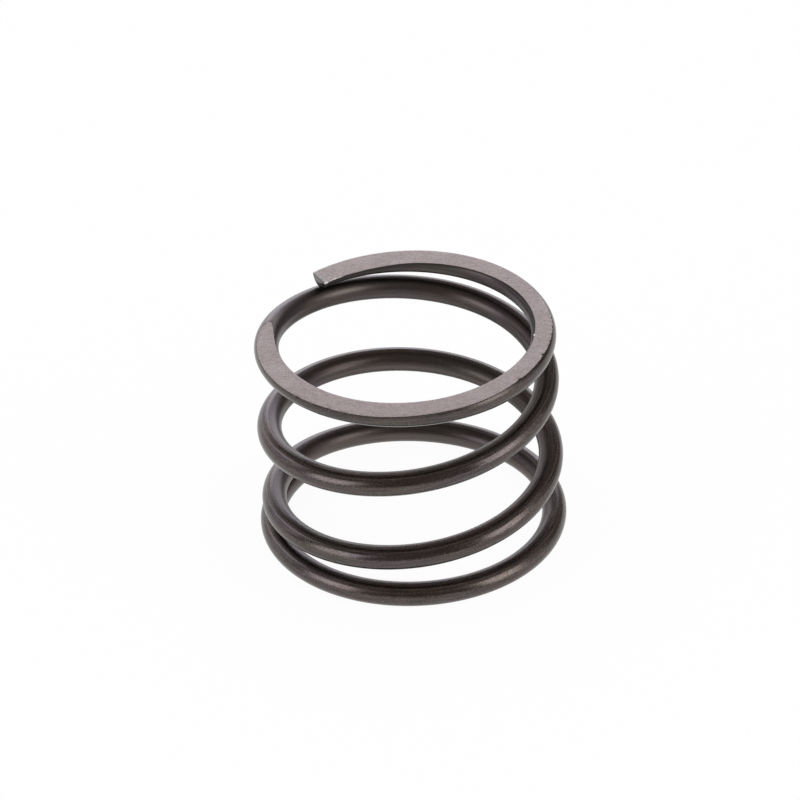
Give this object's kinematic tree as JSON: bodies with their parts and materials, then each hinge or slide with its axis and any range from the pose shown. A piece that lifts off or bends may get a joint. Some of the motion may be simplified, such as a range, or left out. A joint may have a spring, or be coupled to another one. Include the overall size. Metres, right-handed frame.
{
  "type": "trimmer head spring",
  "caption": "Compression coil spring of round dark steel wire with closed, flat ground ends, which presses the spool and bump knob of a string trimmer head.",
  "frame": {"origin": "on the coil's axis, in the lower ground face that the spring stands on", "axes": "+Z along the coil's axis, from the lower ground face to the upper one"},
  "size_m": [0.0329, 0.0325, 0.0244],
  "materials": {
    "spring_steel": "dark tempered wire, satin, with pale matte ground end faces"
  },
  "bodies": {
    "root": {"spring_wire": "spring_steel"}
  },
  "joints": []
}
